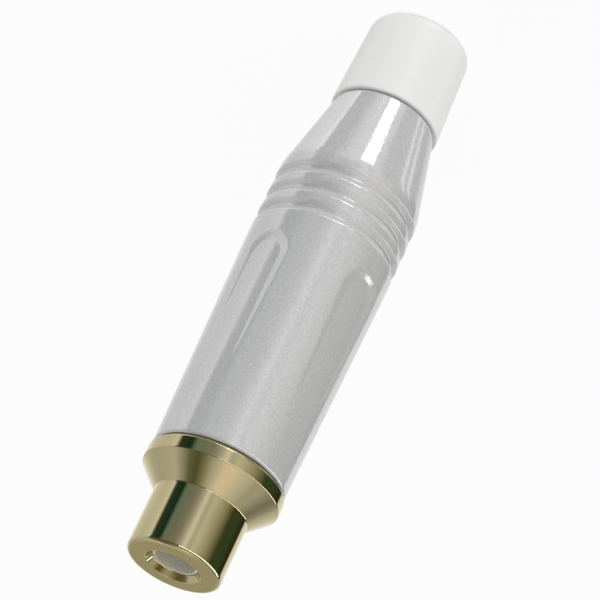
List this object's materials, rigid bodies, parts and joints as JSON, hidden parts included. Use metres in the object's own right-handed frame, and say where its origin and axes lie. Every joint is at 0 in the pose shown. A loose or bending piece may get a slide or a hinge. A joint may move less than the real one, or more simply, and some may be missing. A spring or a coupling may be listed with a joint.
{
  "type": "in-line phono cable socket",
  "caption": "Female phono socket for a cable end: plated socket head, fluted metal housing, keyed cable clamp and screw-on boot.",
  "frame": {"origin": "centre of the boot's cable-end face, which the part stands on", "axes": "+Z along the connector's axis towards the mouth; -Y through the plain panel that the picture faces; the two clamp keys lie on X"},
  "size_m": [0.013, 0.013, 0.0561],
  "materials": {
    "boot": "matt white nylon",
    "clamp": "natural white acetal",
    "housing": "satin nickel plating over a zinc casting",
    "gold": "polished gold plating over turned brass",
    "insulator": "grey-white plastic"
  },
  "bodies": {
    "boot": {"boot": "boot"},
    "clamp": {"clamp": "clamp"},
    "housing": {"housing": "housing"},
    "head": {"socket_body": "gold", "front_insulator": "insulator", "rear_insulator": "insulator", "centre_contact": "gold", "solder_lug": "gold"}
  },
  "joints": [
    {"name": "boot_turn", "type": "hinge", "parent": "boot", "child": "clamp", "pos_m": [0, 0, 0.0125], "axis": [0, 0, 1], "range_deg": [0, 1800]},
    {"name": "housing_lift", "type": "slide", "parent": "clamp", "child": "housing", "axis": [0, 0, 1], "range_m": [0, 0.005]},
    {"name": "head_pull", "type": "slide", "parent": "housing", "child": "head", "axis": [0, 0, 1], "range_m": [0, 0.02]}
  ],
  "couplings": [
    {"joint": "housing_lift", "follows": "boot_turn", "m_per_rad": 0.00015915}
  ]
}
